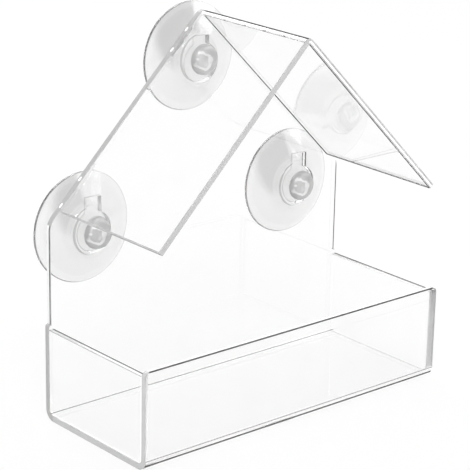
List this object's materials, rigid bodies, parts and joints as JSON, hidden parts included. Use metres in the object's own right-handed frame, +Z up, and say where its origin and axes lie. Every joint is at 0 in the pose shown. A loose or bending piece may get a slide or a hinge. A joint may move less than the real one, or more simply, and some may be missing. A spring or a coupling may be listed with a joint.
{
  "type": "window bird feeder",
  "caption": "House-shaped clear window bird feeder: a bent sheet makes back, floor and tray front, with glued ends, a folded roof and suction cups that slide in keyholes.",
  "frame": {"origin": "middle of the seed tray's flat underside", "axes": "+X to the right seen from the front, +Y from the room towards the window pane, +Z up"},
  "size_m": [0.1524, 0.0716, 0.1572],
  "materials": {
    "clear_acrylic": "clear, colourless, glossy cast acrylic sheet with polished cut edges",
    "soft_clear_vinyl": "soft, clear, faintly milky moulded vinyl with a smooth gloss"
  },
  "bodies": {
    "feeder": {"body_sheet": "clear_acrylic", "left_side_panel": "clear_acrylic", "right_side_panel": "clear_acrylic", "roof_sheet": "clear_acrylic"},
    "top_cup": {"top_suction_cup": "soft_clear_vinyl"},
    "left_cup": {"left_suction_cup": "soft_clear_vinyl"},
    "right_cup": {"right_suction_cup": "soft_clear_vinyl"}
  },
  "joints": [
    {"name": "top_cup_slide", "type": "slide", "parent": "feeder", "child": "top_cup", "axis": [0, 0, 1], "range_m": [-0.0061, 0.0058]},
    {"name": "left_cup_slide", "type": "slide", "parent": "feeder", "child": "left_cup", "axis": [0, 0, 1], "range_m": [-0.0046, 0.0103]},
    {"name": "right_cup_slide", "type": "slide", "parent": "feeder", "child": "right_cup", "axis": [0, 0, 1], "range_m": [-0.0046, 0.0103]}
  ]
}
